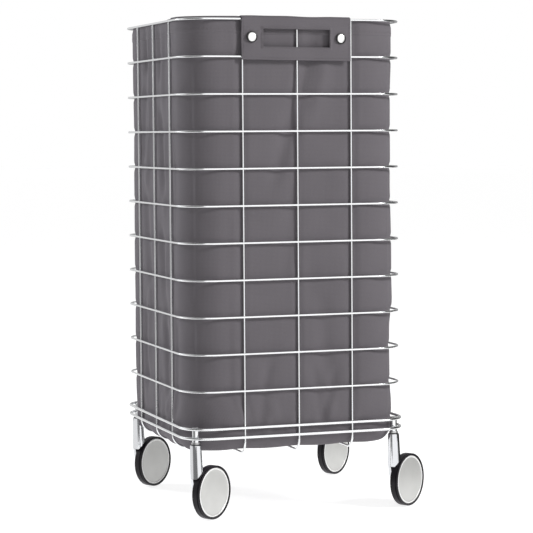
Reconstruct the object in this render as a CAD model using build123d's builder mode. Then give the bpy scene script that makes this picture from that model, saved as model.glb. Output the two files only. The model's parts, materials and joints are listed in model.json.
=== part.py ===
"""Rolling laundry cart: a square cage of chrome wire on four swivel casters, with a fabric bag
that hangs inside and folds over the top hoop in two handle flaps closed by snaps.

Frame: origin on the floor under the middle of the cage, +Z up, front handle flap towards -Y.
All lengths are in millimetres and all angles in degrees.
"""

import os

from build123d import *

# ---- cage -------------------------------------------------------------------------------
wire_r = 1.5  # hoops and uprights
base_wire_r = 2.0  # the two heavier hoops that carry the casters
weld_depth = 0.2  # how far crossing wires sink into each other at a weld
cage_inner = 161.0  # half of the clear width between the hoops
cage_inner_corner_r = 44.5
base_inner_corner_r = 36.0  # the base hoops turn tighter, so that the casters stand further out
top_hoop_z = 690.0
hoop_pitch = 51.0
hoop_count = 11  # even hoops, counted from the top, above the two base hoops
base_hoop_gap = 13.0
base_upper_z = top_hoop_z - hoop_count * hoop_pitch
base_lower_z = base_upper_z - base_hoop_gap
upright_offset = cage_inner - wire_r + weld_depth
upright_spacing = 79.5
upright_top_z = top_hoop_z + 1.0
floor_wire_low_z = 92.5  # wires that run front to back under the bag
floor_bend_r = 18.0
floor_wire_high_z = floor_wire_low_z + 2 * wire_r - weld_depth  # wires that run side to side
wire_end_chamfer = 0.4

# ---- bag --------------------------------------------------------------------------------
cloth = 1.5
bag_half = 157.6
bag_corner_r = 42.0
bag_foot_corner_r = 60.0  # wider corners low down, clear of the caster sockets
bag_bottom_z = floor_wire_high_z + wire_r + 0.3
bag_edge_r = 18.0
bag_foot_top_z = 136.0
bag_body_start_z = 175.0
bag_top_z = 691.0

# ---- handle flaps -----------------------------------------------------------------------
flap_width = 159.0
flap_centre_x = -2.5
flap_thickness = 1.6
flap_hinge_z = 693.4
flap_inner_y = cage_inner + 2 * wire_r + 0.6  # distance of the flap's inner face from the middle
flap_hinge_y = flap_inner_y + flap_thickness / 2
flap_bottom_z = 636.5
flap_corner_r = 3.0
slot_width = 97.0
slot_height = 22.4
slot_corner_r = 2.0
slot_centre_z = 666.0
tab_gap = 0.3
tab_bottom_z = 692.6

# ---- snaps ------------------------------------------------------------------------------
snap_offset_x = 65.0
snap_z = 666.0
snap_cap_r = 7.0
snap_cap_height = 2.4
snap_shank_r = 2.0
snap_barrel_r = 5.2
snap_barrel_height = 3.0
snap_bore_r = 3.0
snap_bore_depth = 2.5
stud_flange_r = 5.5
stud_flange_height = 1.2
stud_post_r = 1.6
stud_head_r = 2.3
stud_head_y = 161.4  # distance of the head's centre from the middle of the cart

# ---- casters ----------------------------------------------------------------------------
socket_outer_r = 4.8
socket_bore_r = 3.55
socket_top_z = 131.0
stem_r = 3.5
collar_r = 6.1
collar_top_z = 110.4
collar_bottom_z = 107.8
stem_top_z = 131.0
stem_bottom_z = 74.0
rivet_head_r = 5.2
rivet_head_height = 2.4
grip_groove_z = 124.0
grip_ring_height = 1.6
grip_ring_r = 0.35  # depth of the groove that the spring ring sits in
neck_top_z = 106.8
neck_top_r = 7.9
neck_bottom_z = 60.0
neck_bottom_r = 9.3
neck_lean = 2.0  # how far the neck's foot leans towards the wheel
bush_r = 5.6
bush_flange_r = 6.6
bush_flange_height = 0.9
bush_bore_r = 3.55
bush_bottom_z = 77.2
rivet_room_r = 6.0

caster_heading = 35.7  # direction in which the wheels trail, from +X towards +Y
wheel_r = 37.5
wheel_trail = 29.8
wheel_outer_n = 10.3  # wheel faces, measured along the axle from the swivel axis
wheel_inner_n = -1.7
tyre_inner_r = 34.8
tyre_shoulder_r = 1.0
tread_groove_depth = 1.2
tread_groove_n = (6.6, 8.2)  # groove that parts the tread from the rim beside the disc
wheel_clearance = 4.5
arm_inner_n = -2.4
arm_outer_n = -7.9
boss_r = 11.0
pad_r = 6.5  # raised face on the arm that the hub runs against
pad_n = -1.8
axle_r = 3.0
axle_tip_n = 7.9
axle_head_n = 5.9
axle_head_r = 5.5
hub_bore_r = 3.06
hub_r = 9.0
hub_inner_n = -1.7
hub_outer_n = 5.8
rim_inner_r = 29.0
rim_inner_n = -1.2
web_inner_n = 1.2
web_outer_n = 4.0
disc_r = 34.6
disc_inner_n = 8.2
disc_outer_n = 10.0
disc_bevel = 0.8
disc_border = 2.4
disc_recess = 0.35

diagonal = 2**0.5
corner_centre = cage_inner - base_inner_corner_r
stem_offset = corner_centre + (base_inner_corner_r - socket_outer_r + weld_depth) / diagonal
corners = {
    "front_left": (-1, -1),
    "front_right": (1, -1),
    "rear_left": (-1, 1),
    "rear_right": (1, 1),
}


def save(part, name):
    """Labels one finished piece and writes it to its own STEP file."""
    part.label = name
    export_step(part, f"parts/{name}.step")


# ---- wire cage --------------------------------------------------------------------------
def hoop(z, radius, inner_corner_r):
    """A closed square hoop of round wire with rounded corners, lying outside the uprights."""
    half = cage_inner + radius
    with BuildSketch(Plane.XY.offset(z)) as outline:
        RectangleRounded(2 * half, 2 * half, inner_corner_r + radius)
    path = outline.sketch.face().outer_wire()
    with BuildPart() as wire:
        with BuildSketch(Plane(origin=path @ 0, z_dir=path % 0)):
            Circle(radius)
        sweep(path=path)
    return wire.part


def upright(offset, floor_z, turn):
    """One wire that runs down one side, under the bag and up the opposite side."""
    with BuildPart() as wire:
        with BuildLine(Plane.YZ.offset(offset)) as path:
            FilletPolyline(
                (-upright_offset, upright_top_z),
                (-upright_offset, floor_z),
                (upright_offset, floor_z),
                (upright_offset, upright_top_z),
                radius=floor_bend_r,
            )
        with BuildSketch(Plane((offset, -upright_offset, upright_top_z), z_dir=(0, 0, -1))):
            Circle(wire_r)
        sweep(path=path.wires()[0])
        ends = wire.faces().sort_by(Axis.Z)[-2:]
        chamfer(ends.edges(), length=wire_end_chamfer)
    with BuildPart() as placed:
        add(wire.part, rotation=(0, 0, turn))
    return placed.part


def socket(x, y):
    """A short tube welded inside the corner of the two base hoops, which takes a caster stem."""
    with BuildPart() as tube:
        with BuildSketch(Plane((x, y, collar_top_z))):
            Circle(socket_outer_r)
            Circle(socket_bore_r, mode=Mode.SUBTRACT)
        extrude(amount=socket_top_z - collar_top_z)
    return tube.part


# ---- bag --------------------------------------------------------------------------------
def bag_envelope(inset, top_z):
    """The bag's filled shape, drawn in by inset all round and at the bottom."""
    half = bag_half - inset
    bottom = bag_bottom_z + inset
    with BuildPart() as body:
        with BuildSketch(Plane.XY.offset(bottom)):
            RectangleRounded(2 * half, 2 * half, bag_foot_corner_r - inset)
        extrude(amount=bag_foot_top_z - bottom)
        fillet(body.faces().sort_by(Axis.Z)[0].edges(), radius=bag_edge_r - inset)
        with BuildSketch(Plane.XY.offset(bag_foot_top_z)):
            RectangleRounded(2 * half, 2 * half, bag_foot_corner_r - inset)
        with BuildSketch(Plane.XY.offset(bag_body_start_z)):
            RectangleRounded(2 * half, 2 * half, bag_corner_r - inset)
        loft()
        with BuildSketch(Plane.XY.offset(bag_body_start_z)):
            RectangleRounded(2 * half, 2 * half, bag_corner_r - inset)
        extrude(amount=top_z - bag_body_start_z)
    return body.part


def bag_body():
    """Open-topped fabric bag, with a tab at the front and back that passes over the top hoop."""
    tab_top_z = tab_bottom_z + flap_thickness
    tab_outer_y = flap_inner_y - tab_gap
    wall_inner_y = bag_half - cloth
    with BuildPart() as bag:
        add(bag_envelope(0, bag_top_z))
        add(bag_envelope(cloth, bag_top_z + 1), mode=Mode.SUBTRACT)
        for side in (-1, 1):
            x = -side * flap_centre_x
            with BuildSketch(Plane.XY.offset(bag_top_z - 1)):
                with Locations((x, side * (bag_half + wall_inner_y) / 2)):
                    Rectangle(flap_width, cloth)
            extrude(amount=tab_top_z - bag_top_z + 1)
            with BuildSketch(Plane.XY.offset(tab_bottom_z)):
                with Locations((x, side * (tab_outer_y + wall_inner_y) / 2)):
                    Rectangle(flap_width, tab_outer_y - wall_inner_y)
            extrude(amount=flap_thickness)
    return bag.part


# ---- handle flaps and snaps, built at the front ----------------------------------------
def flap():
    """The handle flap that hangs outside the two top hoops, with a hand slot through it."""
    height = flap_hinge_z - flap_bottom_z
    with BuildPart() as plate:
        with BuildSketch(Plane.XZ.offset(flap_inner_y)):
            with Locations((flap_centre_x, (flap_hinge_z + flap_bottom_z) / 2)):
                Rectangle(flap_width, height)
            with Locations((flap_centre_x, slot_centre_z)):
                RectangleRounded(slot_width, slot_height, slot_corner_r, mode=Mode.SUBTRACT)
            for x in snap_positions():
                with Locations((x, snap_z)):
                    Circle(snap_shank_r, mode=Mode.SUBTRACT)
        extrude(amount=flap_thickness)
        lower_corners = plate.edges().filter_by(Axis.Y).group_by(Axis.Z)[0]
        fillet(lower_corners, radius=flap_corner_r)
        knuckle_start = (flap_centre_x - flap_width / 2, -flap_hinge_y, flap_hinge_z)
        with BuildSketch(Plane(knuckle_start, z_dir=(1, 0, 0))):
            Circle(flap_thickness / 2)
        extrude(amount=flap_width)
    return plate.part


def snap_positions():
    """Where the two snaps sit along the front flap."""
    return [flap_centre_x - snap_offset_x, flap_centre_x + snap_offset_x]


def snap_caps():
    """Two chromed caps on the flap, each with its spring socket behind the cloth."""
    outer_y = flap_inner_y + flap_thickness
    barrel_y = flap_inner_y - snap_barrel_height
    with BuildPart() as caps:
        for x in snap_positions():
            with BuildSketch(Plane.XZ.offset(outer_y)):
                with Locations((x, snap_z)):
                    Circle(snap_cap_r)
            extrude(amount=snap_cap_height)
            with BuildSketch(Plane.XZ.offset(barrel_y)):
                with Locations((x, snap_z)):
                    Circle(snap_shank_r)
            extrude(amount=outer_y - barrel_y)
            with BuildSketch(Plane.XZ.offset(barrel_y)):
                with Locations((x, snap_z)):
                    Circle(snap_barrel_r)
            extrude(amount=snap_barrel_height)
            with BuildSketch(Plane.XZ.offset(barrel_y)):
                with Locations((x, snap_z)):
                    Circle(snap_bore_r)
            extrude(amount=snap_bore_depth, mode=Mode.SUBTRACT)
        rims = caps.edges().filter_by(GeomType.CIRCLE).group_by(Axis.Y)[0]
        fillet(rims, radius=snap_cap_height * 0.7)
    return caps.part


def snap_studs():
    """Two studs riveted to the bag's front wall, which the spring sockets press onto."""
    with BuildPart() as studs:
        for x in snap_positions():
            with BuildSketch(Plane.XZ.offset(bag_half)):
                with Locations((x, snap_z)):
                    Circle(stud_flange_r)
            extrude(amount=stud_flange_height)
            with BuildSketch(Plane.XZ.offset(bag_half)):
                with Locations((x, snap_z)):
                    Circle(stud_post_r)
            extrude(amount=stud_head_y - bag_half)
            with Locations((x, -stud_head_y, snap_z)):
                Sphere(stud_head_r)
    return studs.part


# ---- caster, built about its swivel axis with the wheel trailing towards +X ---------------
# The wheel's outer face looks towards -Y, so a distance n along the axle is at y = -n.
def caster_stem():
    """Swivel stem: a spigot for the socket, a collar, and a journal closed by a rivet head."""
    with BuildPart() as stem:
        with BuildSketch(Plane.XY.offset(stem_bottom_z)):
            Circle(stem_r)
        extrude(amount=stem_top_z - stem_bottom_z)
        chamfer(stem.faces().sort_by(Axis.Z)[-1].edges(), length=1.0)
        with BuildSketch(Plane.XY.offset(grip_groove_z)):
            Circle(stem_r)
            Circle(stem_r - grip_ring_r, mode=Mode.SUBTRACT)
        extrude(amount=grip_ring_height, mode=Mode.SUBTRACT)
        with BuildSketch(Plane.XY.offset(collar_bottom_z)):
            Circle(collar_r)
        extrude(amount=collar_top_z - collar_bottom_z)
        with BuildSketch(Plane.XY.offset(stem_bottom_z)):
            Circle(rivet_head_r)
        extrude(amount=rivet_head_height)
        round_edges = stem.edges().filter_by(
            lambda edge: edge.geom_type == GeomType.CIRCLE and abs(edge.radius - collar_r) < 0.01
        )
        fillet(round_edges, radius=0.6)
        rivet_edge = stem.faces().sort_by(Axis.Z)[0].edges()
        fillet(rivet_edge, radius=1.2)
    return stem.part


def grip_ring():
    """Split spring ring in the stem's groove, which holds the stem in its socket."""
    with BuildPart() as ring:
        with BuildSketch(Plane.XY.offset(grip_groove_z + 0.2)):
            Circle(stem_r)
            Circle(stem_r - grip_ring_r + 0.05, mode=Mode.SUBTRACT)
            with Locations((stem_r, 0)):
                Rectangle(3.0, 1.2, mode=Mode.SUBTRACT)
        extrude(amount=grip_ring_height - 0.4)
    return ring.part


def arm_outline():
    """Side view of the caster's single arm, from the neck down to the axle boss."""
    axle_z = wheel_r
    with BuildSketch(Plane.XZ) as outline:
        with BuildLine():
            lead = Spline(
                (neck_lean - neck_bottom_r + 2.5, neck_bottom_z + 14),
                (-3.6, neck_bottom_z - 2),
                (-0.4, axle_z + 8),
                (6.0, axle_z - 3),
                (wheel_trail - 6, axle_z - boss_r + 0.6),
                tangents=[(0, -1), (1, -0.1)],
            )
            foot = Line(lead @ 1, (wheel_trail, axle_z - boss_r))
            nose = ThreePointArc(
                foot @ 1, (wheel_trail + boss_r, axle_z), (wheel_trail, axle_z + boss_r)
            )
            back = Spline(
                nose @ 1,
                (wheel_trail - 15, axle_z + boss_r + 6),
                (neck_lean + neck_bottom_r - 1.0, neck_bottom_z + 14),
                tangents=[(-1, 0), (0, 1)],
            )
            Line(back @ 1, lead @ 0)
        make_face()
    return outline.sketch


def caster_body():
    """Chromed casting: a tapered neck that turns on the stem and one arm beside the wheel."""
    axle_z = wheel_r
    with BuildPart() as arm:
        with BuildSketch(Plane.XZ.offset(arm_outer_n)):
            add(arm_outline())
        extrude(amount=arm_inner_n - arm_outer_n)
        outer_rim = arm.faces().sort_by(Axis.Y)[-1].edges()
        fillet(outer_rim, radius=2.2)
    with BuildPart() as body:
        with BuildSketch(Plane.XY.offset(neck_bottom_z)):
            with Locations((neck_lean, 0)):
                Circle(neck_bottom_r)
        with BuildSketch(Plane.XY.offset(neck_top_z)):
            Circle(neck_top_r)
        loft()
        fillet(body.faces().sort_by(Axis.Z)[-1].edges(), radius=0.8)
        add(arm.part)
        with BuildSketch(Plane.XZ.offset(arm_inner_n)):
            with Locations((wheel_trail, axle_z)):
                Circle(wheel_r + wheel_clearance)
        extrude(amount=wheel_outer_n - arm_inner_n + 2, mode=Mode.SUBTRACT)
        with BuildSketch(Plane.XZ.offset(arm_inner_n)):
            with Locations((wheel_trail, axle_z)):
                Circle(pad_r)
        extrude(amount=pad_n - arm_inner_n)
        with BuildSketch(Plane.XZ.offset(arm_outer_n - 1)):
            with Locations((wheel_trail, axle_z)):
                Circle(axle_r)
        extrude(amount=pad_n - arm_outer_n + 2, mode=Mode.SUBTRACT)
        with BuildSketch(Plane.XY.offset(bush_bottom_z)):
            Circle(bush_r)
        extrude(amount=neck_top_z - bush_bottom_z + 1, mode=Mode.SUBTRACT)
        with BuildSketch(Plane.XY.offset(neck_bottom_z - 1)):
            Circle(rivet_room_r)
        extrude(amount=bush_bottom_z - neck_bottom_z + 1, mode=Mode.SUBTRACT)
    return body.part


def caster_bush():
    """Flanged plastic bush pressed into the neck, which turns round the stem."""
    with BuildPart() as bush:
        with BuildSketch(Plane.XY.offset(bush_bottom_z)):
            Circle(bush_r)
        extrude(amount=neck_top_z - bush_bottom_z)
        with BuildSketch(Plane.XY.offset(neck_top_z)):
            Circle(bush_flange_r)
        extrude(amount=bush_flange_height)
        with BuildSketch(Plane.XY.offset(bush_bottom_z)):
            Circle(bush_bore_r)
        extrude(amount=neck_top_z + bush_flange_height - bush_bottom_z, mode=Mode.SUBTRACT)
    return bush.part


def axle():
    """Pin pressed into the arm, with a head that keeps the wheel on."""
    with BuildPart() as pin:
        with BuildSketch(Plane.XZ.offset(arm_outer_n + 0.5)):
            with Locations((wheel_trail, wheel_r)):
                Circle(axle_r)
        extrude(amount=axle_head_n - arm_outer_n - 0.5)
        with BuildSketch(Plane.XZ.offset(axle_head_n)):
            with Locations((wheel_trail, wheel_r)):
                Circle(axle_head_r)
        extrude(amount=axle_tip_n - axle_head_n)
        chamfer(pin.faces().sort_by(Axis.Y)[0].edges(), length=0.5)
    return pin.part


def turned(points):
    """A solid turned about the wheel's axle from (radius, n) corners of half its section."""
    with BuildPart() as body:
        with BuildSketch(Plane.XY.offset(wheel_r)):
            with BuildLine():
                Polyline([(wheel_trail + radius, -n) for radius, n in points], close=True)
            make_face()
        revolve(axis=Axis((wheel_trail, 0, wheel_r), (0, 1, 0)))
    return body.part


def wheel_core():
    """Black plastic wheel centre: hub, web and rim."""
    return turned(
        [
            (hub_bore_r, hub_inner_n),
            (hub_r, hub_inner_n),
            (hub_r, web_inner_n),
            (rim_inner_r, web_inner_n),
            (rim_inner_r, rim_inner_n),
            (tyre_inner_r, rim_inner_n),
            (tyre_inner_r, disc_inner_n),
            (rim_inner_r, disc_inner_n),
            (rim_inner_r, web_outer_n),
            (hub_r, web_outer_n),
            (hub_r, hub_outer_n),
            (hub_bore_r, hub_outer_n),
        ]
    )


def tyre():
    """Black tyre with rounded shoulders and a groove round it beside the outer rim."""
    groove_start, groove_end = tread_groove_n
    with BuildPart() as ring:
        add(
            turned(
                [
                    (tyre_inner_r, wheel_inner_n),
                    (wheel_r, wheel_inner_n),
                    (wheel_r, wheel_outer_n),
                    (tyre_inner_r, wheel_outer_n),
                ]
            )
        )
        shoulders = ring.edges().filter_by(
            lambda edge: edge.geom_type == GeomType.CIRCLE and abs(edge.radius - wheel_r) < 0.01
        )
        fillet(shoulders, radius=tyre_shoulder_r)
        add(
            turned(
                [
                    (wheel_r - tread_groove_depth, groove_start + 0.5),
                    (wheel_r + 1, groove_start - 0.7),
                    (wheel_r + 1, groove_end + 0.7),
                    (wheel_r - tread_groove_depth, groove_end - 0.5),
                ]
            ),
            mode=Mode.SUBTRACT,
        )
    return ring.part


def face_disc():
    """Pale disc snapped over the outer side of the wheel, with a bevelled border."""
    return turned(
        [
            (0, disc_inner_n),
            (disc_r, disc_inner_n),
            (disc_r, disc_outer_n - disc_bevel),
            (disc_r - disc_bevel, disc_outer_n),
            (disc_r - disc_border, disc_outer_n),
            (disc_r - disc_border - disc_recess, disc_outer_n - disc_recess),
            (0, disc_outer_n - disc_recess),
        ]
    )


def at_corner(part, corner):
    """Turns a caster piece to the heading and moves it under one corner of the cage."""
    x, y = corners[corner]
    spot = Location((x * stem_offset, y * stem_offset, 0), (0, 0, caster_heading))
    with BuildPart() as placed:
        add(part.moved(spot))
    return placed.part


def at_rear(part):
    """The same piece at the back, half a turn round the cart."""
    with BuildPart() as placed:
        add(part, rotation=(0, 0, 180))
    return placed.part


# ---- files ------------------------------------------------------------------------------
os.makedirs("parts", exist_ok=True)

for number in range(hoop_count):
    z = top_hoop_z - number * hoop_pitch
    save(hoop(z, wire_r, cage_inner_corner_r), f"wire_hoop_{number + 1:02d}")
save(hoop(base_upper_z, base_wire_r, base_inner_corner_r), "base_hoop_upper")
save(hoop(base_lower_z, base_wire_r, base_inner_corner_r), "base_hoop_lower")

for number in range(3):
    offset = (number - 1) * upright_spacing
    save(upright(offset, floor_wire_low_z, 0), f"long_wire_front_rear_{number + 1}")
    save(upright(-offset, floor_wire_high_z, 90), f"long_wire_left_right_{number + 1}")

save(bag_body(), "bag_body")
save(flap(), "front_handle_flap")
save(at_rear(flap()), "rear_handle_flap")
save(snap_caps(), "front_snap_caps")
save(at_rear(snap_caps()), "rear_snap_caps")
save(snap_studs(), "front_snap_studs")
save(at_rear(snap_studs()), "rear_snap_studs")

caster_pieces = {
    "stem": caster_stem(),
    "fork": caster_body(),
    "bush": caster_bush(),
    "axle": axle(),
    "wheel_core": wheel_core(),
    "tyre": tyre(),
    "face_disc": face_disc(),
}
for corner, (x, y) in corners.items():
    save(socket(x * stem_offset, y * stem_offset), f"socket_{corner}")
    for piece, part in caster_pieces.items():
        save(at_corner(part, corner), f"{piece}_{corner}")

with BuildPart() as stem_grip_rings:
    for corner in corners:
        add(at_corner(grip_ring(), corner))
save(stem_grip_rings.part, "stem_grip_rings")
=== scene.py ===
"""Looks of the rolling laundry cart: chrome cage, fabric bag with handle flaps, slim casters.

Metres, same frame as the CAD: origin on the floor under the cage, +Z up, front towards -Y.
"""

import json
import math

import bpy
import numpy as np
from mathutils import Matrix, Vector


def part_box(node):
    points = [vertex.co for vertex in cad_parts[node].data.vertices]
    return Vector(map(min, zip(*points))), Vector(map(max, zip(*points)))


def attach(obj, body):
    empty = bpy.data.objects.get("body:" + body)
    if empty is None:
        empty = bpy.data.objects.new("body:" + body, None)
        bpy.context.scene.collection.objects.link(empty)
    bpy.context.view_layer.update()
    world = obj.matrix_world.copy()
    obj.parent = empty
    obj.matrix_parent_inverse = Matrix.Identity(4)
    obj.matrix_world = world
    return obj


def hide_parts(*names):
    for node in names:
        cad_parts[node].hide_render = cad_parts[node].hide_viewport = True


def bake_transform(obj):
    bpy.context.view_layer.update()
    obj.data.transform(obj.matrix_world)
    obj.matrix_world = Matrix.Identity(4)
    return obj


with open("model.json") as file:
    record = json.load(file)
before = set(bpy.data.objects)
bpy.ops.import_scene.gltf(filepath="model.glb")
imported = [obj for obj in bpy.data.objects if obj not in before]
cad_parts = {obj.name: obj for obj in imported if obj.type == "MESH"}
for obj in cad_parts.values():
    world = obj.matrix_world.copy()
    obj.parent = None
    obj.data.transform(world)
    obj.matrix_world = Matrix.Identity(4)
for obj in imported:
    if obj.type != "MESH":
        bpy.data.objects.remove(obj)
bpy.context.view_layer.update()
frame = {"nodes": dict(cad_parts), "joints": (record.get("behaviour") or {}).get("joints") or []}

TAU = 2 * math.pi
CORNERS = ("front_left", "front_right", "rear_left", "rear_right")

# Sizes taken from the CAD frame.
top_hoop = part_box("wire_hoop_01")
second_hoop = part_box("wire_hoop_02")
bag_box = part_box("bag_body")
flap_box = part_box("front_handle_flap")
cap_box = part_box("front_snap_caps")
TOP_HOOP_Z = (top_hoop[0].z + top_hoop[1].z) / 2
HOOP_PITCH = TOP_HOOP_Z - (second_hoop[0].z + second_hoop[1].z) / 2
BAG_FLOOR = bag_box[0].z
# Where the three uprights of each wall stand along it.
UPRIGHT_AT = (0.0, 0.0795, -0.0795)


# ---- materials --------------------------------------------------------------------------
def new_material(name):
    """A new node material, and its shader."""
    material = bpy.data.materials.new(name)
    material.use_nodes = True
    return material, material.node_tree.nodes["Principled BSDF"]


def node(owner, kind, inputs=None, **settings):
    """Adds a node to a material or world, sets its options, and links or fills its inputs."""
    made = owner.node_tree.nodes.new(kind)
    for key, value in settings.items():
        setattr(made, key, value)
    for key, value in (inputs or {}).items():
        if isinstance(value, bpy.types.NodeSocket):
            owner.node_tree.links.new(value, made.inputs[key])
        else:
            made.inputs[key].default_value = value
    return made


def link(owner, output, socket):
    owner.node_tree.links.new(output, socket)


def ramp(owner, factor, stops):
    """A colour ramp with the given (position, grey or colour) stops, in rising order."""
    made = node(owner, "ShaderNodeValToRGB", {"Fac": factor})
    elements = made.color_ramp.elements
    elements.remove(elements[1])
    for number, (position, colour) in enumerate(stops):
        element = elements.new(position) if number else elements[0]
        element.position = position
        shade = colour if isinstance(colour, tuple) else (colour, colour, colour)
        element.color = (*shade, 1)
    return made.outputs["Color"]


def value_range(owner, value, low, high, from_low=0.0, from_high=1.0):
    """A value carried over from one range to another."""
    inputs = {
        "Value": value,
        "From Min": from_low,
        "From Max": from_high,
        "To Min": low,
        "To Max": high,
    }
    return node(owner, "ShaderNodeMapRange", inputs).outputs["Result"]


def math_node(owner, operation, a, b=0.0):
    return node(owner, "ShaderNodeMath", {0: a, 1: b}, operation=operation).outputs[0]


def noise(material, vector, scale, detail=3.0, roughness=0.5):
    inputs = {"Vector": vector, "Scale": scale, "Detail": detail, "Roughness": roughness}
    return node(material, "ShaderNodeTexNoise", inputs).outputs["Fac"]


def stretched(material, vector, scale):
    """The same coordinates, stretched along each axis."""
    return node(material, "ShaderNodeMapping", {"Vector": vector, "Scale": scale}).outputs[0]


def object_place(material):
    """The object's own coordinates, in metres."""
    return node(material, "ShaderNodeTexCoord").outputs["Object"]


def add_bump(material, shader, height, strength, distance):
    inputs = {"Height": height, "Strength": strength, "Distance": distance}
    bump = node(material, "ShaderNodeBump", inputs)
    link(material, bump.outputs[0], shader.inputs["Normal"])


def chrome_material(name, colour, roughness):
    """Chrome plate with slight unevenness in its tint and gloss."""
    material, shader = new_material(name)
    place = object_place(material)
    broad = noise(material, place, 25.0, 2.0)
    fine = noise(material, place, 160.0, 3.0)
    tint = ramp(material, broad, [(0.3, tuple(0.94 * c for c in colour)), (0.7, colour)])
    link(material, tint, shader.inputs["Base Color"])
    rough = value_range(material, fine, roughness * 0.85, roughness * 1.2)
    link(material, rough, shader.inputs["Roughness"])
    shader.inputs["Metallic"].default_value = 1.0
    return material


def zinc_material():
    """Zinc plated steel of the stems, axles and studs: satin, with a fine grain."""
    material, shader = new_material("zinc_steel")
    place = object_place(material)
    grain = noise(material, stretched(material, place, (1, 1, 6)), 700.0, 4.0)
    tint = ramp(material, grain, [(0.3, 0.44), (0.7, 0.60)])
    link(material, tint, shader.inputs["Base Color"])
    link(material, value_range(material, grain, 0.24, 0.40), shader.inputs["Roughness"])
    shader.inputs["Metallic"].default_value = 1.0
    return material


def plastic_material():
    """Moulded black plastic of the wheel centres and bushes."""
    material, shader = new_material("black_plastic")
    shader.inputs["Specular IOR Level"].default_value = 0.25
    place = object_place(material)
    pebble = noise(material, place, 1500.0, 2.0)
    tint = ramp(material, pebble, [(0.35, 0.012), (0.65, 0.022)])
    link(material, tint, shader.inputs["Base Color"])
    link(material, value_range(material, pebble, 0.34, 0.48), shader.inputs["Roughness"])
    add_bump(material, shader, pebble, 0.15, 0.0002)
    return material


def tyre_material():
    """Smooth black tyre, a little dusty, with a soft purplish sheen."""
    material, shader = new_material("tyre_rubber")
    shader.inputs["Specular IOR Level"].default_value = 0.22
    shader.inputs["Sheen Weight"].default_value = 0.12
    shader.inputs["Sheen Roughness"].default_value = 0.35
    shader.inputs["Sheen Tint"].default_value = (0.62, 0.52, 0.68, 1)
    place = object_place(material)
    dust = noise(material, place, 90.0, 4.0, 0.6)
    grain = noise(material, place, 1800.0, 2.0)
    tint = ramp(material, dust, [(0.35, (0.006, 0.005, 0.007)), (0.75, (0.014, 0.012, 0.015))])
    link(material, tint, shader.inputs["Base Color"])
    link(material, value_range(material, dust, 0.30, 0.46), shader.inputs["Roughness"])
    add_bump(material, shader, grain, 0.12, 0.0002)
    return material


def disc_material(name, dark, light, metallic):
    """Pale satin lacquer of the wheel faces, with a faint cloudiness."""
    material, shader = new_material(name)
    place = object_place(material)
    cloud = noise(material, place, 45.0, 3.0)
    fine = noise(material, place, 1600.0, 2.0)
    tint = ramp(material, cloud, [(0.3, dark), (0.7, light)])
    link(material, tint, shader.inputs["Base Color"])
    link(material, value_range(material, fine, 0.30, 0.42), shader.inputs["Roughness"])
    shader.inputs["Metallic"].default_value = metallic
    shader.inputs["Coat Weight"].default_value = 0.25
    shader.inputs["Coat Roughness"].default_value = 0.2
    add_bump(material, shader, fine, 0.05, 0.0001)
    return material


CLOTH_DARK = (0.094, 0.086, 0.095)
CLOTH_LIGHT = (0.129, 0.118, 0.130)
THREADS_PER_METRE = 2200.0


def cloth_material():
    """Tightly woven grey cloth. Its UVs are in metres, so that the weave keeps its real size."""
    material, shader = new_material("grey_cloth")
    place = node(material, "ShaderNodeUVMap", uv_map="weave").outputs["UV"]
    scale = THREADS_PER_METRE / TAU / 2
    inputs = {"Vector": place, "Scale": scale, "Distortion": 0.6, "Detail": 1.0}
    waves = []
    for direction in ("X", "Y"):
        wave = node(material, "ShaderNodeTexWave", inputs, bands_direction=direction)
        waves.append(wave.outputs["Fac"])
    weave = math_node(material, "MULTIPLY", waves[0], waves[1])
    slub = noise(material, stretched(material, place, (1.0, 9.0, 1.0)), 320.0, 3.0, 0.6)
    cloud = noise(material, place, 14.0, 4.0, 0.55)
    mixed = math_node(material, "ADD", math_node(material, "MULTIPLY", weave, 0.35), slub)
    mixed = math_node(material, "ADD", mixed, math_node(material, "MULTIPLY", cloud, 0.5))
    shade = value_range(material, mixed, 0, 1, 0.45, 1.25)
    tint = ramp(material, shade, [(0, CLOTH_DARK), (1, CLOTH_LIGHT)])
    link(material, tint, shader.inputs["Base Color"])
    link(material, value_range(material, slub, 0.80, 0.95), shader.inputs["Roughness"])
    shader.inputs["Specular IOR Level"].default_value = 0.25
    shader.inputs["Sheen Weight"].default_value = 0.10
    shader.inputs["Sheen Roughness"].default_value = 0.45
    shader.inputs["Sheen Tint"].default_value = (0.62, 0.60, 0.64, 1)
    height = math_node(material, "ADD", weave, math_node(material, "MULTIPLY", slub, 0.5))
    add_bump(material, shader, height, 0.35, 0.0003)
    return material


def thread_material():
    """Sewing thread, a little darker and glossier than the cloth."""
    material, shader = new_material("sewing_thread")
    place = object_place(material)
    twist = noise(material, place, 2500.0, 2.0)
    tint = ramp(material, twist, [(0.3, (0.060, 0.056, 0.060)), (0.7, (0.095, 0.090, 0.095))])
    link(material, tint, shader.inputs["Base Color"])
    link(material, value_range(material, twist, 0.5, 0.7), shader.inputs["Roughness"])
    return material


FLOOR_GREY = 0.50
FLOOR_GLOW = 0.80


def floor_material():
    """Pale studio floor that glows a little, so that it comes out nearly white."""
    material, shader = new_material("studio_floor")
    cloud = noise(material, object_place(material), 3.0)
    tint = ramp(material, cloud, [(0.3, FLOOR_GREY * 0.99), (0.7, FLOOR_GREY)])
    link(material, tint, shader.inputs["Base Color"])
    shader.inputs["Roughness"].default_value = 0.7
    shader.inputs["Emission Color"].default_value = (1, 1, 1, 1)
    shader.inputs["Emission Strength"].default_value = FLOOR_GLOW
    return material


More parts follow.
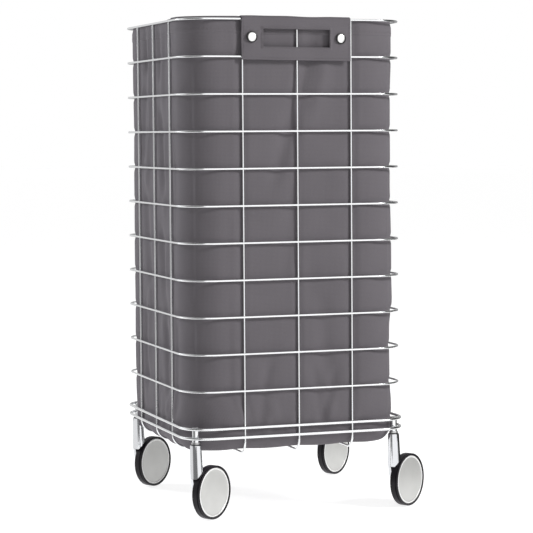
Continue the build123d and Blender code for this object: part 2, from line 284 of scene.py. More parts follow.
wire_chrome = chrome_material("wire_chrome", (0.88, 0.89, 0.90), 0.15)
cast_chrome = chrome_material("cast_chrome", (0.74, 0.75, 0.77), 0.09)
cap_chrome = chrome_material("cap_chrome", (0.88, 0.88, 0.87), 0.20)
# nearly black chrome for the snap caps' skirts: painted shade round their edges
cap_edge_painted_shade = chrome_material("cap_edge_painted_shade", (0.04, 0.04, 0.04), 0.35)
zinc = zinc_material()
black_plastic = plastic_material()
tyre_rubber = tyre_material()
pale_disc = disc_material("pale_disc", (0.53, 0.53, 0.515), (0.57, 0.57, 0.555), 0.45)
# the rim's pale lacquer is a painted highlight: a lighter copy of the face's material standing in
# for light caught by the bevel
disc_rim_painted_highlight = disc_material("disc_rim_painted_highlight", (0.80, 0.80, 0.79), (0.86, 0.86, 0.85), 0.20)
grey_cloth = cloth_material()
thread = thread_material()


# ---- CAD nodes that stay ----------------------------------------------------------------
def finish_cad(name, material):
    """Gives a CAD node its material, and leaves its mesh as it is."""
    piece = frame["nodes"][name]
    piece.data.materials.clear()
    piece.data.materials.append(material)


CAD_MATERIALS = (
    (("wire_hoop", "base_hoop", "long_wire", "socket"), wire_chrome),
    (("fork",), cast_chrome),
    (("stem", "axle", "front_snap_studs", "rear_snap_studs"), zinc),
    (("wheel_core", "bush"), black_plastic),
    (("tyre",), tyre_rubber),
)

for name in frame["nodes"]:
    for beginnings, material in CAD_MATERIALS:
        if name.startswith(beginnings):
            finish_cad(name, material)


# ---- mesh helpers -----------------------------------------------------------------------
def mesh_object(name, points, faces, material, uvs=None):
    """A smooth-shaded object from points and faces, with optional UVs per point, in metres."""
    mesh = bpy.data.meshes.new(name)
    mesh.from_pydata([tuple(p) for p in points], [], [tuple(f) for f in faces])
    if uvs is not None:
        layer = mesh.uv_layers.new(name="weave")
        corner_points = np.zeros(len(mesh.loops), np.int32)
        mesh.loops.foreach_get("vertex_index", corner_points)
        layer.data.foreach_set("uv", np.asarray(uvs, np.float32)[corner_points].ravel())
    mesh.polygons.foreach_set("use_smooth", [True] * len(mesh.polygons))
    mesh.materials.append(material)
    piece = bpy.data.objects.new(name, mesh)
    bpy.context.scene.collection.objects.link(piece)
    return piece


def grid_faces(rows, columns, closed=False):
    """Quads of a grid of points stored row by row, joined round if closed."""
    last = columns if closed else columns - 1
    faces = []
    for i in range(rows - 1):
        for j in range(last):
            k = (j + 1) % columns
            here, below = i * columns, (i + 1) * columns
            faces.append((here + j, here + k, below + k, below + j))
    return faces


def apply_modifiers(piece):
    """Replaces the piece's mesh by what its modifiers make of it."""
    bpy.context.view_layer.update()
    graph = bpy.context.evaluated_depsgraph_get()
    made = bpy.data.meshes.new_from_object(piece.evaluated_get(graph))
    piece.modifiers.clear()
    piece.data = made
    return piece


def smoothstep(low, high, value):
    t = np.clip((value - low) / (high - low), 0, 1)
    return t * t * (3 - 2 * t)


def turned_part(name, profile, materials, centre, axis, steps=96):
    """A piece turned about an axis, from rows of (radius, height along it, material number)."""
    ahead = Vector(axis).normalized()
    sideways = ahead.orthogonal().normalized()
    upwards = ahead.cross(sideways)
    points = []
    for radius, height, _ in profile:
        for i in range(steps):
            a = TAU * i / steps
            offset = radius * math.cos(a) * sideways + radius * math.sin(a) * upwards
            points.append(Vector(centre) + offset + ahead * height)
    faces = grid_faces(len(profile), steps, closed=True)
    numbers = [row[2] for row in profile[:-1] for _ in range(steps)]
    for row, turn in ((0, 1), (len(profile) - 1, -1)):
        faces.append([row * steps + i for i in range(steps)][::-turn])
        numbers.append(profile[row][2])
    piece = mesh_object(name, points, faces, materials[0])
    for material in materials[1:]:
        piece.data.materials.append(material)
    piece.data.polygons.foreach_set("material_index", numbers)
    return piece


THREAD_RADIUS = 0.00024
THREAD_SIDES = 6
THREAD_SHAPE = ((0.0, 0.45), (0.25, 1.0), (0.75, 1.0), (1.0, 0.45))


def stitch_row(name, dashes):
    """Sewing thread: one short tapered tube for each (start, end) pair."""
    points, faces = [], []
    tube = grid_faces(len(THREAD_SHAPE), THREAD_SIDES, closed=True)
    last_ring = (len(THREAD_SHAPE) - 1) * THREAD_SIDES
    for start, end in dashes:
        ahead = (Vector(end) - Vector(start)).normalized()
        sideways = ahead.orthogonal().normalized()
        upwards = ahead.cross(sideways)
        base = len(points)
        for share, swell in THREAD_SHAPE:
            middle = Vector(start).lerp(Vector(end), share)
            for i in range(THREAD_SIDES):
                a = TAU * i / THREAD_SIDES
                offset = math.cos(a) * sideways + math.sin(a) * upwards
                points.append(middle + THREAD_RADIUS * swell * offset)
        faces += [tuple(base + k for k in f) for f in tube]
        faces.append(tuple(base + i for i in reversed(range(THREAD_SIDES))))
        faces.append(tuple(base + last_ring + i for i in range(THREAD_SIDES)))
    return mesh_object(name, points, faces, thread)


def join_pieces(pieces):
    """Joins pieces into the first of them."""
    with bpy.context.temp_override(active_object=pieces[0], selected_editable_objects=pieces):
        bpy.ops.object.join()
    return pieces[0]


# ---- sizes of the handle flaps ----------------------------------------------------------
FLAP_X0, FLAP_X1 = flap_box[0].x, flap_box[1].x
FLAP_MID = (FLAP_X0 + FLAP_X1) / 2
FLAP_LOW = flap_box[0].z - 0.0014
FLAP_THICK = 0.0016
# How far from the cage's middle the flap hangs, outside and inside the mouth.
FLAP_FACE = -(flap_box[0].y + flap_box[1].y) / 2
FLAP_INSIDE = 0.1546
SNAP_Z = (cap_box[0].z + cap_box[1].z) / 2
SLOT_HALF_W = 0.0485
SLOT_HALF_H = 0.0121
SLOT_Z = SNAP_Z - 0.0006
# Width of the turned band round the hand slot, and of the slope at its edge.
SLOT_BAND = 0.0024
SLOT_SLOPE = 0.0005
STITCH_PITCH = 0.0034


def flap_droop(across):
    """How much lower the flap hangs than in CAD: a little more towards its right end."""
    return 0.0004 + 0.0016 * (across - FLAP_X0) / (FLAP_X1 - FLAP_X0)


# ---- wheel faces and snap caps ----------------------------------------------------------
# Face disc from its edge inwards: rounded rim, a fine step down, and a slightly domed middle. The
# rim is painted much lighter than the face, a painted highlight on its bevel.
DISC_PROFILE = (
    (0.0344, 0.0000, 1),
    (0.0346, 0.0004, 1),
    (0.0345, 0.0010, 1),
    (0.0340, 0.0015, 1),
    (0.0332, 0.0018, 1),
    (0.0324, 0.0018, 1),
    (0.0319, 0.0016, 0),
    (0.0317, 0.00135, 0),
    (0.0312, 0.00130, 0),
    (0.0240, 0.00142, 0),
    (0.0120, 0.00150, 0),
    (0.0010, 0.00152, 0),
)

DISC_HALF_THICK = 0.0009

for corner in CORNERS:
    low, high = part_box(f"face_disc_{corner}")
    roll = next(j for j in frame["joints"] if j["name"] == f"wheel_{corner}_roll")
    axis = Vector(roll["axis"])
    foot = (low + high) / 2 - axis * DISC_HALF_THICK
    # material 1, the rim, is painted lighter as a painted highlight on its bevel
    face = turned_part(f"wheel_face_{corner}", DISC_PROFILE, [pale_disc, disc_rim_painted_highlight], foot, axis)
    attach(face, f"wheel_{corner}")
    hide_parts(f"face_disc_{corner}")

# Snap cap from its skirt inwards: a pressed ring painted nearly black, a painted shade round the
# cap's edge, then a bright rolled crown.
CAP_PROFILE = (
    (0.0073, 0.0000, 1),
    (0.0077, 0.0003, 1),
    (0.0076, 0.0008, 1),
    (0.0070, 0.0010, 1),
    (0.0064, 0.0009, 1),
    (0.0063, 0.0012, 0),
    (0.0061, 0.0017, 0),
    (0.0055, 0.0021, 0),
    (0.0045, 0.00235, 0),
    (0.0030, 0.0025, 0),
    (0.0015, 0.00256, 0),
    (0.0002, 0.00258, 0),
)

CAP_SUNK = 0.0001
CAP_LEAN = -0.14
SIDES = ((-1, "front"), (1, "rear"))

for side, where in SIDES:
    low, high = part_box(f"{where}_snap_caps")
    outside = side * (FLAP_FACE + FLAP_THICK / 2 - CAP_SUNK)
    radius = (high.z - low.z) / 2
    pair = []
    for x, lean in ((low.x + radius, 0.0), (high.x - radius, CAP_LEAN * side)):
        centre = (x, outside, (low.z + high.z) / 2 - flap_droop(-side * x))
        axis = (math.sin(lean), side * math.cos(lean), 0)
        # the second material paints the skirt ring nearly black, a painted shade round the cap's
        # edge
        materials = [cap_chrome, cap_edge_painted_shade]
        pair.append(turned_part(f"{where}_cap", CAP_PROFILE, materials, centre, axis, 48))
    caps = join_pieces(pair)
    caps.name = f"{where}_snap_crowns"
    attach(caps, f"{where}_flap")
    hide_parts(f"{where}_snap_caps")


# ---- bag --------------------------------------------------------------------------------
BAG_HALF = 0.1572
CLOTH = 0.0012
BAG_TOP = TOP_HOOP_Z + 0.0015
HEM_Z = BAG_TOP - 0.021
# The bag's foot: radius of the edge between wall and bottom, and of its corners seen from above.
BAG_EDGE = 0.018
FOOT_CORNER = 0.062
# The grid: points round the bag, and rows down the wall, round the bottom edge and across it.
BAG_COLUMNS = 560
WALL_ROWS, LOW_ROWS, EDGE_ROWS, BOTTOM_ROWS = 200, 14, 14, 30
# Share of a side's points that lie on half of one of its corners.
CORNER_SHARE = 0.115
# The fold tables' depths are multiplied by this.
FOLD_DEPTH = 1.3
# Place along a wall beyond which the cloth is rounding the corner.
CORNER_START = 0.1


def rounded_square(share, half, radius):
    """Points and outward normals of a rounded square at shares 0-1 round it, from its front middle.

    Also gives each point's side (0 front, 1 right, 2 back, 3 left) and its place along that side.
    """
    flat = half - radius
    quarter = (share * 4 + 0.5) % 1.0 - 0.5
    side = np.floor(share * 4 + 0.5) % 4
    turn = side * math.pi / 2
    flat_share = 0.5 - CORNER_SHARE
    along = np.clip(quarter / flat_share, -1, 1) * flat
    into_corner = np.clip((abs(quarter) - flat_share) / (0.5 - flat_share), 0, 1)
    bend = np.sign(quarter) * into_corner * math.pi / 4
    x = along + radius * np.sin(bend)
    y = -flat - radius * np.cos(bend)
    nx, ny = np.sin(bend), -np.cos(bend)
    c, s = np.cos(turn), np.sin(turn)
    return x * c - y * s, x * s + y * c, nx * c - ny * s, nx * s + ny * c, side, along


def soft_noise(seed, columns, rows, cells_round, cells_up):
    """Smooth repeatable noise on the bag's grid that joins up round it, about -1 to 1."""
    rng = np.random.default_rng(seed)
    table = rng.uniform(-1, 1, (cells_up + 3, cells_round))
    u = np.arange(columns) / columns * cells_round
    v = np.arange(rows) / max(rows - 1, 1) * cells_up
    iu, fu = np.floor(u).astype(int), u - np.floor(u)
    iv, fv = np.floor(v).astype(int), v - np.floor(v)
    fu, fv = fu * fu * (3 - 2 * fu), fv * fv * (3 - 2 * fv)
    a = table[iv][:, iu % cells_round]
    b = table[iv][:, (iu + 1) % cells_round]
    c = table[iv + 1][:, iu % cells_round]
    d = table[iv + 1][:, (iu + 1) % cells_round]
    fu, fv = fu[None, :], fv[:, None]
    return (a * (1 - fu) + b * fu) * (1 - fv) + (c * (1 - fu) + d * fu) * fv


def round_bump(share, centre, width):
    """A soft bump, 1 high, at one place round the bag."""
    return np.exp(-(((share - centre + 0.5) % 1.0 - 0.5) / width) ** 2)


def corner_radius(share):
    """The cloth fills the front left corner of the cage, and cuts the other corners more."""
    return 0.057 - 0.009 * round_bump(share, 0.875, 0.10)


def bag_rows(share):
    """Half width, corner radius and height of each row, from the mouth down and in to the middle.

    Also gives the number of rows on the wall.
    """
    foot_z = BAG_FLOOR + BAG_EDGE
    radius = corner_radius(share)
    hem = [HEM_Z + 0.0006, HEM_Z + 0.0002, HEM_Z - 0.0002, HEM_Z - 0.0006]
    wall = np.linspace(BAG_TOP, 0.150, WALL_ROWS)
    heights = [*wall, *np.linspace(0.1475, foot_z, LOW_ROWS), *hem]
    rows = []
    for z in sorted(heights, reverse=True):
        foot = 1 - smoothstep(0.136, 0.175, z)
        rows.append((BAG_HALF, radius + (FOOT_CORNER - radius) * foot, z))
    for step in range(1, EDGE_ROWS + 1):
        a = step / EDGE_ROWS * math.pi / 2
        inset = BAG_EDGE * (1 - math.cos(a))
        rows.append((BAG_HALF - inset, FOOT_CORNER - inset, foot_z - BAG_EDGE * math.sin(a)))
    outer = BAG_HALF - BAG_EDGE
    for step in range(1, BOTTOM_ROWS + 1):
        half = outer * (1 - step / (BOTTOM_ROWS + 1))
        rows.append((half, min(FOOT_CORNER - BAG_EDGE, half * 0.98), BAG_FLOOR))
    return rows, len(heights)


def slack_folds(along, z, folds):
    """How far soft folds push a wall in or out, from rows like those of LEFT_FOLDS."""
    total = np.zeros((z.shape[0], along.shape[0]))
    for place, run, top, bottom, width, depth in folds:
        fade = 0.25 * (top - bottom)
        within = smoothstep(bottom, bottom + fade, z) * (1 - smoothstep(top - fade, top, z))
        centre = place + run * (top - z)
        total += FOLD_DEPTH * depth * within * np.exp(-(((along[None, :] - centre) / width) ** 2))
    return total


# Folds of the left and front walls: place along the wall at the fold's top (left to right as seen
# from outside), sideways run per metre down, top, bottom, width, and depth (below 0: inwards).
LEFT_FOLDS = (
    (-0.048, 0.03, 0.700, 0.610, 0.010, -0.0032),
    (-0.026, 0.00, 0.700, 0.560, 0.009, 0.0020),
    (0.022, 0.02, 0.700, 0.600, 0.010, -0.0030),
    (0.046, -0.04, 0.690, 0.560, 0.010, 0.0020),
    (-0.050, -0.12, 0.620, 0.480, 0.011, -0.0030),
    (-0.020, -0.18, 0.600, 0.440, 0.010, 0.0022),
    (0.014, 0.22, 0.590, 0.430, 0.011, -0.0034),
    (0.058, -0.10, 0.560, 0.400, 0.012, 0.0018),
    (-0.055, 0.16, 0.470, 0.300, 0.013, -0.0030),
    (0.020, 0.20, 0.420, 0.260, 0.012, -0.0032),
    (0.060, -0.16, 0.400, 0.230, 0.012, 0.0020),
    (-0.030, -0.10, 0.330, 0.180, 0.012, 0.0022),
    (-0.060, 0.06, 0.300, 0.150, 0.010, -0.0030),
    (0.044, 0.10, 0.290, 0.140, 0.010, -0.0034),
    (0.066, -0.12, 0.230, 0.120, 0.009, 0.0022),
    (0.094, 0.05, 0.640, 0.440, 0.009, -0.0012),
    (0.100, -0.04, 0.500, 0.280, 0.010, -0.0016),
    (0.098, 0.06, 0.300, 0.130, 0.010, -0.0026),
)
FRONT_FOLDS = (
    (0.036, -0.30, 0.700, 0.440, 0.012, -0.0034),
    (0.056, -0.26, 0.680, 0.520, 0.010, 0.0012),
    (-0.006, -0.05, 0.480, 0.330, 0.014, -0.0012),
    (0.030, 0.10, 0.330, 0.170, 0.014, -0.0016),
    (-0.120, 0.04, 0.560, 0.330, 0.014, -0.0010),
    (-0.118, 0.10, 0.330, 0.130, 0.012, -0.0022),
    (-0.040, -0.20, 0.230, 0.120, 0.008, -0.0020),
    (0.020, 0.20, 0.220, 0.120, 0.008, -0.0018),
    (0.058, -0.24, 0.215, 0.120, 0.008, -0.0020),
)


# Side number, its folds, and -1 where they are mirrored.
WALL_FOLDS = (
    (3, LEFT_FOLDS, 1),
    (0, FRONT_FOLDS, 1),
    (1, LEFT_FOLDS, -1),
    (2, FRONT_FOLDS, -1),
)


def wall_swell(share, z):
    """How far the cloth stands out from its plain shape, over the whole grid."""
    count = z.shape[0]
    _, _, _, _, side, along = rounded_square(share, BAG_HALF, corner_radius(share))
    gap = np.min([abs(along - at) for at in UPRIGHT_AT], axis=0)
    free = smoothstep(0.0012, 0.0100, gap)[None, :]
    round_corner = smoothstep(0.084, 0.094, abs(along))[None, :]
    between = smoothstep(0.0, 0.5, np.abs(np.sin(math.pi * (TOP_HOOP_Z - z) / HOOP_PITCH)))
    # the cloth lies against the wires and stands out between them, most of all at the corners
    swell = free * (0.0005 + 0.0006 * between) + free * round_corner * (0.0006 + 0.0010 * between)
    broad = 0.0009 * soft_noise(5, BAG_COLUMNS, count, 18, 9)
    folds = 0.0007 * soft_noise(3, BAG_COLUMNS, count, 52, 6)
    low = 1 - smoothstep(0.120, 0.215, z)
    puckers = 0.0014 * soft_noise(11, BAG_COLUMNS, count, 84, 22) * low
    out = swell + free * (broad + folds + puckers)
    # all of a corner counts as one place along the wall, so that folds can lie on it
    at_corner = abs(along) > CORNER_START - 0.0001
    place = np.where(at_corner, np.sign(along) * CORNER_START, along)
    # the right and back walls have the folds of the left and front ones, mirrored
    for wall, pattern, flip in WALL_FOLDS:
        slack = slack_folds(place * flip, z, pattern)
        out += (side == wall)[None, :] * slack * (0.35 + 0.65 * free)
    out += 0.0005 * smoothstep(HEM_Z - 0.0004, HEM_Z + 0.0004, z)
    most = 0.0018 + 0.0016 * between
    return np.clip(out, -0.0070, most * free + 0.0003)


def mouth_rise(share):
    """Height of the mouth: a little above the top hoop at the front left corner, lower elsewhere."""
    rise = smoothstep(0.792, 0.835, share) * (1 - smoothstep(0.922, 0.945, share))
    other = round_bump(share, 0.39, 0.05)
    wave = soft_noise(21, BAG_COLUMNS, 2, 26, 1)[0] * 0.0006
    return -0.0012 + 0.0040 * rise + 0.0026 * other + wave


FLOOR_SAG = 0.0046


def bag_points():
    """The bag's cloth as a grid of points, and the number of its rows that are wall."""
    share = np.arange(BAG_COLUMNS) / BAG_COLUMNS
    rows, wall_rows = bag_rows(share)
    points = np.zeros((len(rows), BAG_COLUMNS, 3))
    normals = np.zeros((len(rows), BAG_COLUMNS, 3))
    for i, (half, radius, z) in enumerate(rows):
        x, y, nx, ny, _, _ = rounded_square(share, half, radius)
        points[i, :, 0], points[i, :, 1], points[i, :, 2] = x, y, z
        normals[i, :, 0], normals[i, :, 1] = nx, ny
    z = points[:, :, 2].copy()
    on_wall = smoothstep(BAG_FLOOR, BAG_FLOOR + 0.020, z)
    points += normals * (wall_swell(share, z) * on_wall)[:, :, None]
    # the floor sags between its wires
    x, y = points[:, :, 0], points[:, :, 1]
    gap_x = np.ones_like(x)
    gap_y = np.ones_like(x)
    for at in UPRIGHT_AT:
        gap_x = gap_x * smoothstep(0.001, 0.034, abs(x - at))
        gap_y = gap_y * smoothstep(0.001, 0.034, abs(y - at))
    low = 1 - smoothstep(BAG_FLOOR + 0.001, BAG_FLOOR + 0.010, z)
    from_front = 0.25 + 0.75 * smoothstep(0.010, 0.070, y + BAG_HALF)
    points[:, :, 2] -= low * FLOOR_SAG * np.minimum(gap_x, gap_y) * from_front
    mouth = smoothstep(BAG_TOP - 0.060, BAG_TOP, z)
    points[:, :, 2] += mouth * mouth_rise(share)[None, :]
    return points, wall_rows


HEM_STITCH_Z = HEM_Z + 0.0035
HEM_STITCH_OUT = 1.0006
# The row on which lengths round the bag are measured.
GIRTH_ROW = 10


def make_bag():
    """The bag's cloth shell, with UVs in metres measured along the cloth, and its hem stitches."""
    points, wall_rows = bag_points()
    rows = points.shape[0]
    closing = np.concatenate([points, points[:, :1]], axis=1)
    round_length = np.linalg.norm(np.diff(closing[GIRTH_ROW], axis=0), axis=1).cumsum()
    round_length = np.concatenate([[0], round_length[:-1]])
    down = np.linalg.norm(np.diff(points[:, 0], axis=0), axis=1).cumsum()
    down = np.concatenate([[0], down])
    uvs = np.zeros((rows, BAG_COLUMNS, 2))
    uvs[:, :, 0] = round_length[None, :]
    uvs[:, :, 1] = -down[:, None]
    flat_points = points.reshape(-1, 3)
    faces = grid_faces(rows, BAG_COLUMNS, closed=True)
    centre = len(flat_points)
    last = (rows - 1) * BAG_COLUMNS
    middle = np.array([[0, 0, points[-1, :, 2].mean()]])
    for j in range(BAG_COLUMNS):
        faces.append((last + j, last + (j + 1) % BAG_COLUMNS, centre))
    all_points = np.concatenate([flat_points, middle])
    all_uvs = np.concatenate([uvs.reshape(-1, 2), [[0, -down[-1]]]])
    bag = mesh_object("bag_cloth", all_points, [f[::-1] for f in faces], grey_cloth, all_uvs)
    thick = bag.modifiers.new("thickness", "SOLIDIFY")
    thick.thickness = CLOTH
    thick.offset = -1
    apply_modifiers(bag)
    row = int(np.argmin(abs(points[:wall_rows, 0, 2] - HEM_STITCH_Z)))
    ring = points[row] * np.array([HEM_STITCH_OUT, HEM_STITCH_OUT, 1.0])
    dashes = [(ring[i], ring[(i + 1) % BAG_COLUMNS]) for i in range(0, BAG_COLUMNS, 2)]
    return bag, stitch_row("bag_hem_stitches", dashes)


bag, hem_stitches = make_bag()
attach(bag, "cage")
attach(hem_stitches, "cage")
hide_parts("bag_body")


# ---- handle flaps -----------------------------------------------------------------------
def flap_lines(low, high, edges, step):
    """Grid lines between low and high that pass through every given edge."""
    stops = sorted({low, high, *[e for e in edges if low < e < high]})
    lines = [stops[0]]
    for a, b in zip(stops, stops[1:]):
        count = max(1, round((b - a) / step))
        lines += [a + (b - a) * i / count for i in range(1, count + 1)]
    return lines


OVER_HOOP_STEPS = 16
OVER_HOOP_RISE = 0.0036
# Sizes of the flap's grid, along the drop and across.
DROP_STEP, ACROSS_STEP = 0.0014, 0.0018


def flap_path():
    """The cloth's way over the top hoop, as (distance out, z): up inside, over, down outside."""
    inside = np.linspace(TOP_HOOP_Z - 0.009, TOP_HOOP_Z - 0.001, 5)
    path = [(FLAP_INSIDE, z) for z in inside]
    middle, half_span = (FLAP_INSIDE + FLAP_FACE) / 2, (FLAP_FACE - FLAP_INSIDE) / 2
    for i in range(1, OVER_HOOP_STEPS):
        a = math.pi * (1 - i / OVER_HOOP_STEPS)
        over = TOP_HOOP_Z + OVER_HOOP_RISE * math.sin(a) ** 0.6
        path.append((middle + half_span * math.cos(a), over))
    band = [SLOT_HALF_H, SLOT_HALF_H + SLOT_BAND, SLOT_HALF_H + SLOT_BAND + SLOT_SLOPE]
    edges = [SLOT_Z + sign * offset for offset in band for sign in (-1, 1)]
    outside = flap_lines(FLAP_LOW, TOP_HOOP_Z - 0.001, edges, DROP_STEP)
    path += [(FLAP_FACE, z) for z in reversed(outside)]
    return np.array(path)


def is_outside(out):
    """Whether a place of the path is on the outer face of the flap."""
    return out > FLAP_FACE - 1e-6


def flap_place(across, out, z, phase):
    """Where the cloth really hangs: it ripples, droops, and sinks in between the two hoops."""
    below_hoop = 1 - smoothstep(TOP_HOOP_Z - 0.012, TOP_HOOP_Z - 0.002, z)
    outside = is_outside(out) * below_hoop
    over = smoothstep(TOP_HOOP_Z - 0.001, TOP_HOOP_Z + 0.002, z)
    t = (across - FLAP_X0) / (FLAP_X1 - FLAP_X0)
    ripple = 0.0005 * np.sin(TAU * 1.3 * t + phase[0])
    ripple = ripple + 0.0003 * np.sin(TAU * 2.7 * t + phase[1])
    between = np.sin(math.pi * np.clip((TOP_HOOP_Z - z) / HOOP_PITCH, 0, 1)) ** 2
    at_end = np.exp(-((t / 0.07) ** 2)) + np.exp(-(((1 - t) / 0.05) ** 2))
    centre_gap = smoothstep(0.004, 0.020, abs(across))
    sink = between * (0.0006 + 0.0016 * np.clip(at_end, 0, 1) + 0.0005 * centre_gap)
    # a turned band stands up round the hand slot, and a crease runs to its upper left corner
    beside = np.maximum(abs(across - FLAP_MID) - SLOT_HALF_W, abs(z - SLOT_Z) - SLOT_HALF_H)
    band = 0.0005 * (1 - smoothstep(SLOT_BAND, SLOT_BAND + SLOT_SLOPE, beside))
    crease_x, crease_z = FLAP_MID - SLOT_HALF_W - 0.006, SLOT_Z + SLOT_HALF_H - 0.004
    off_line = abs((across - crease_x) - 0.9 * (z - crease_z)) / 1.35
    near = np.exp(-((np.hypot(across - crease_x, z - crease_z) / 0.007) ** 2))
    crease = 0.0009 * near * np.exp(-((off_line / 0.0018) ** 2))
    out = out + outside * (1.3 * ripple - sink + band + crease)
    z = z - outside * flap_droop(across) + over * (0.7 * ripple + 0.0004 - 0.0012 * t)
    return out, z


# Moves the flap's weave along, so that it isn't a copy of the bag's.
WEAVE_SHIFT = 0.37
TURNED_EDGE = 0.0006
STITCH_SHARE = 0.68
STITCH_OUT = 0.0001


def make_flap(name, side):
    """The cloth from inside the mouth over the hoop and down outside, its sewing and length."""
    path = flap_path()
    band = [SLOT_HALF_W, SLOT_HALF_W + SLOT_BAND, SLOT_HALF_W + SLOT_BAND + SLOT_SLOPE]
    edges = [FLAP_MID + sign * offset for offset in band for sign in (-1, 1)]
    across = np.array(flap_lines(FLAP_X0, FLAP_X1, edges, ACROSS_STEP))
    rows, columns = len(path), len(across)
    phase = np.random.default_rng(31 + (side > 0)).uniform(0, TAU, 2)
    across_grid = np.repeat(across[None, :], rows, axis=0)
    out_grid = np.repeat(path[:, :1], columns, axis=1)
    z_grid = np.repeat(path[:, 1:], columns, axis=1)
    out, z = flap_place(across_grid, out_grid, z_grid, phase)
    turned = -side  # the rear flap is the front one turned half way round the cart
    points = np.stack([across_grid * turned, side * out, z], axis=-1).reshape(-1, 3)
    length = np.concatenate([[0], np.linalg.norm(np.diff(path, axis=0), axis=1).cumsum()])
    length_grid = np.repeat(-length[:, None], columns, axis=1)
    uvs = np.stack([across_grid + WEAVE_SHIFT, length_grid], axis=-1).reshape(-1, 2)
    faces = []
    for i in range(rows - 1):
        for j in range(columns - 1):
            cx = (across[j] + across[j + 1]) / 2
            cz = (path[i, 1] + path[i + 1, 1]) / 2
            in_slot = abs(cx - FLAP_MID) < SLOT_HALF_W and abs(cz - SLOT_Z) < SLOT_HALF_H
            if is_outside(path[i, 0]) and in_slot:
                continue
            a = i * columns + j
            faces.append((a, a + columns, a + columns + 1, a + 1))
    used = sorted({k for f in faces for k in f})
    index = {k: n for n, k in enumerate(used)}
    faces = [tuple(index[k] for k in f) for f in faces]
    flap = mesh_object(name, points[used], faces, grey_cloth, uvs[used])
    thick = flap.modifiers.new("thickness", "SOLIDIFY")
    thick.thickness = FLAP_THICK
    thick.offset = 0
    bevel = flap.modifiers.new("turned_edge", "BEVEL")
    bevel.width = TURNED_EDGE
    bevel.segments = 3
    bevel.limit_method = "ANGLE"
    bevel.angle_limit = math.radians(50)
    apply_modifiers(flap)
    dashes = []
    for corners in flap_seams():
        for (x0, z0), (x1, z1) in zip(corners, corners[1:]):
            count = round(math.hypot(x1 - x0, z1 - z0) / STITCH_PITCH)
            for i in range(count):
                dash = []
                for share in (i / count, (i + STITCH_SHARE) / count):
                    x = np.array(x0 + (x1 - x0) * share)
                    z = np.array(z0 + (z1 - z0) * share)
                    out, z = flap_place(x, np.array(FLAP_FACE), z, phase)
                    face = float(out) + FLAP_THICK / 2 + STITCH_OUT
                    dash.append((float(x) * turned, side * face, float(z)))
                dashes.append(dash)
    return flap, stitch_row(f"{name}_stitches", dashes), length[-1]


# Distance of the stitches from the flap's edge and from the hand slot.
HEM_SEAM = 0.003
SLOT_SEAM = 0.0012


def flap_seams():
    """The lines of stitches, as corners (across, z): round the hem, and round the hand slot."""
    left, right = FLAP_X0 + HEM_SEAM, FLAP_X1 - HEM_SEAM
    low, high = FLAP_LOW + HEM_SEAM, TOP_HOOP_Z - 0.004
    yield (left, high), (left, low), (right, low), (right, high)
    half_w, half_h = SLOT_HALF_W + SLOT_SEAM, SLOT_HALF_H + SLOT_SEAM
    left, right, low, high = FLAP_MID - half_w, FLAP_MID + half_w, SLOT_Z - half_h, SLOT_Z + half_h
    yield (left, high), (left, low), (right, low), (right, high), (left, high)


for side, where in SIDES:
    flap, sewing, flap_length = make_flap(f"{where}_flap_cloth", side)
    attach(sewing, f"{where}_flap")
    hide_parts(f"{where}_handle_flap")
    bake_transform(flap)


# ---- stage, light and camera ------------------------------------------------------------
FLOOR_RADIUS = 30.0
FLOOR_DROP = 0.0005


def ring_points(radius, steps, height):
    angles = [TAU * i / steps for i in range(steps)]
    return [(radius * math.cos(a), radius * math.sin(a), height) for a in angles]


def make_stage():
    """A plain pale floor without a backdrop: one large disc."""
    steps = 48
    points = [(0, 0, 0), *ring_points(FLOOR_RADIUS, steps, 0)]
    faces = [(0, 1 + i, 1 + (i + 1) % steps) for i in range(steps)]
    floor = mesh_object("studio_floor", points, faces, floor_material())
    floor.location.z = -FLOOR_DROP


LIGHT_TARGET = Vector((0, 0, 0.40))


def area_light(name, position, size, power, colour=(1, 1, 1)):
    """A rectangular light that faces the middle of the cart."""
    light = bpy.data.lights.new(name, "AREA")
    light.shape = "RECTANGLE"
    light.size, light.size_y = size
    light.energy = power
    light.color = colour
    lamp = bpy.data.objects.new(name, light)
    bpy.context.scene.collection.objects.link(lamp)
    lamp.location = position
    direction = LIGHT_TARGET - Vector(position)
    lamp.rotation_euler = direction.to_track_quat("-Z", "Y").to_euler()


# Brightness of the studio walls by direction, in degrees from the front towards the left.
WALLS = (
    (-180, 0.45),
    (-160, 0.45),
    (-104, 0.36),
    (-92, 0.04),
    (-52, 0.04),
    (-40, 1.20),
    (30, 1.20),
    (40, 0.17),
    (86, 0.17),
    (96, 0.72),
    (170, 0.72),
    (180, 0.45),
)
# The same for the low cards round the casters, which are nearer and so seen at other angles.
LOW_CARDS = (
    (-180, 0.50),
    (-100, 0.40),
    (-88, 0.03),
    (-58, 0.03),
    (-46, 1.20),
    (15, 1.20),
    (24, 0.20),
    (58, 0.24),
    (68, 0.95),
    (170, 0.95),
    (180, 0.50),
)
CEILING = 0.60
WALL_GLOSS = 1.0
WALL_DIFFUSE = 0.45


def wall_colour(owner, place, stops):
    """The brightness of the studio walls in the direction of a point, and the point's height."""
    parts = node(owner, "ShaderNodeSeparateXYZ", {0: place}).outputs
    minus_x = math_node(owner, "MULTIPLY", parts[0], -1.0)
    minus_y = math_node(owner, "MULTIPLY", parts[1], -1.0)
    turn = math_node(owner, "ARCTAN2", minus_x, minus_y)
    around = value_range(owner, turn, 0, 1, -math.pi, math.pi)
    shares = [((degrees + 180) / 360, grey) for degrees, grey in stops]
    return ramp(owner, around, shares), parts[2]


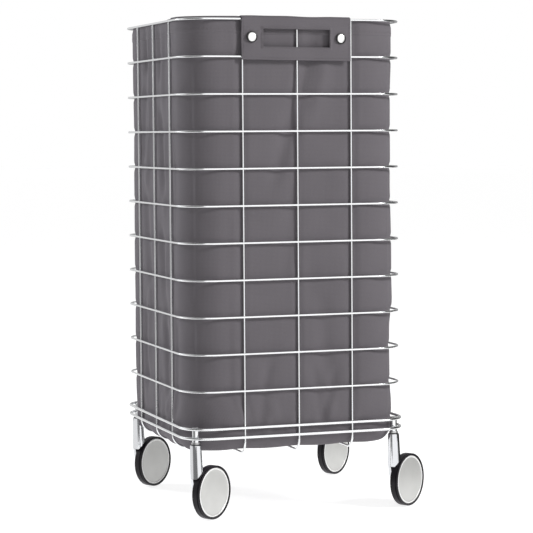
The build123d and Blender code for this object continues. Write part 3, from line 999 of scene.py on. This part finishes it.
def make_world():
    """White to the camera; to the cart, bright walls with darker stretches between them."""
    world = bpy.data.worlds.new("studio")
    bpy.context.scene.world = world
    world.use_nodes = True
    direction = node(world, "ShaderNodeTexCoord").outputs["Generated"]
    walls, height = wall_colour(world, direction, WALLS)
    # inputs 6 and 7 of a Mix node are its colours A and B, and output 2 is its colour
    share = value_range(world, height, 0, 1, 0.55, 0.85)
    inputs = {0: share, 6: walls, 7: (CEILING, CEILING, CEILING, 1)}
    mixed = node(world, "ShaderNodeMix", inputs, data_type="RGBA")
    paths = node(world, "ShaderNodeLightPath").outputs
    studio = world.node_tree.nodes["Background"]
    link(world, mixed.outputs[2], studio.inputs["Color"])
    # cloth gets less of the walls than chrome does, so that the wires cast clear shadows on it
    strength = value_range(world, paths["Is Diffuse Ray"], WALL_GLOSS, WALL_DIFFUSE)
    link(world, strength, studio.inputs["Strength"])
    white = node(world, "ShaderNodeBackground", {"Color": (1, 1, 1, 1), "Strength": 1.0})
    inputs = {0: paths["Is Camera Ray"], 1: studio.outputs[0], 2: white.outputs[0]}
    chosen = node(world, "ShaderNodeMixShader", inputs)
    link(world, chosen.outputs[0], world.node_tree.nodes["World Output"].inputs["Surface"])


def make_cards(name, radius, height, stops):
    """A ring of reflector cards that stand on the floor and show only in reflections."""
    material, shader = new_material(name)
    walls, _ = wall_colour(material, object_place(material), stops)
    link(material, walls, shader.inputs["Emission Color"])
    shader.inputs["Emission Strength"].default_value = WALL_GLOSS
    shader.inputs["Base Color"].default_value = (0, 0, 0, 1)
    shader.inputs["Specular IOR Level"].default_value = 0
    steps = 96
    points = ring_points(radius, steps, 0) + ring_points(radius, steps, height)
    cards = mesh_object(name, points, grid_faces(2, steps, closed=True), material)
    for ray in ("camera", "diffuse", "transmission", "volume_scatter", "shadow"):
        setattr(cards, f"visible_{ray}", False)


CAMERA_AZIMUTH = -18.99
CAMERA_YAW = -19.15
CAMERA_PITCH = 3.699
CAMERA_ROLL = -0.41
CAMERA_DISTANCE = 3.0033
CAMERA_BELOW_HOOP = 0.1557
SENSOR_MM = 36.0
LENS_MM = 139.3193246


def make_camera():
    """The viewpoint: a long lens a little above the cart's middle, from the front left."""
    azimuth = math.radians(CAMERA_AZIMUTH)
    yaw = math.radians(CAMERA_YAW)
    pitch = math.radians(CAMERA_PITCH)
    roll = math.radians(CAMERA_ROLL)
    level = Vector((-math.sin(yaw), math.cos(yaw), 0))
    forward = level * math.cos(pitch) - Vector((0, 0, math.sin(pitch)))
    right = Vector((math.cos(yaw), math.sin(yaw), 0))
    up = right.cross(forward)
    right_rolled = right * math.cos(roll) + up * math.sin(roll)
    up_rolled = right_rolled.cross(forward)
    turn = Matrix((right_rolled, up_rolled, -forward)).transposed()
    data = bpy.data.cameras.new("camera")
    data.sensor_width = SENSOR_MM
    data.lens = LENS_MM
    data.clip_start, data.clip_end = 0.05, 100
    camera = bpy.data.objects.new("camera", data)
    bpy.context.scene.collection.objects.link(camera)
    away = Vector((math.sin(azimuth), -math.cos(azimuth), 0)) * CAMERA_DISTANCE
    place = away + Vector((0, 0, TOP_HOOP_Z - CAMERA_BELOW_HOOP))
    camera.matrix_world = Matrix.Translation(place) @ turn.to_4x4()
    bpy.context.scene.camera = camera


make_stage()
make_cards("studio_walls", 0.80, 1.7, WALLS)
make_cards("low_cards", 0.42, 0.072, LOW_CARDS)
make_world()
make_camera()
area_light("key_right", (2.2, -2.2, 2.1), (0.6, 0.8), 92)
area_light("fill_left", (-2.4, 2.2, 1.4), (0.6, 1.2), 62, (0.95, 0.97, 1.0))
bpy.context.scene.view_settings.view_transform = "Standard"
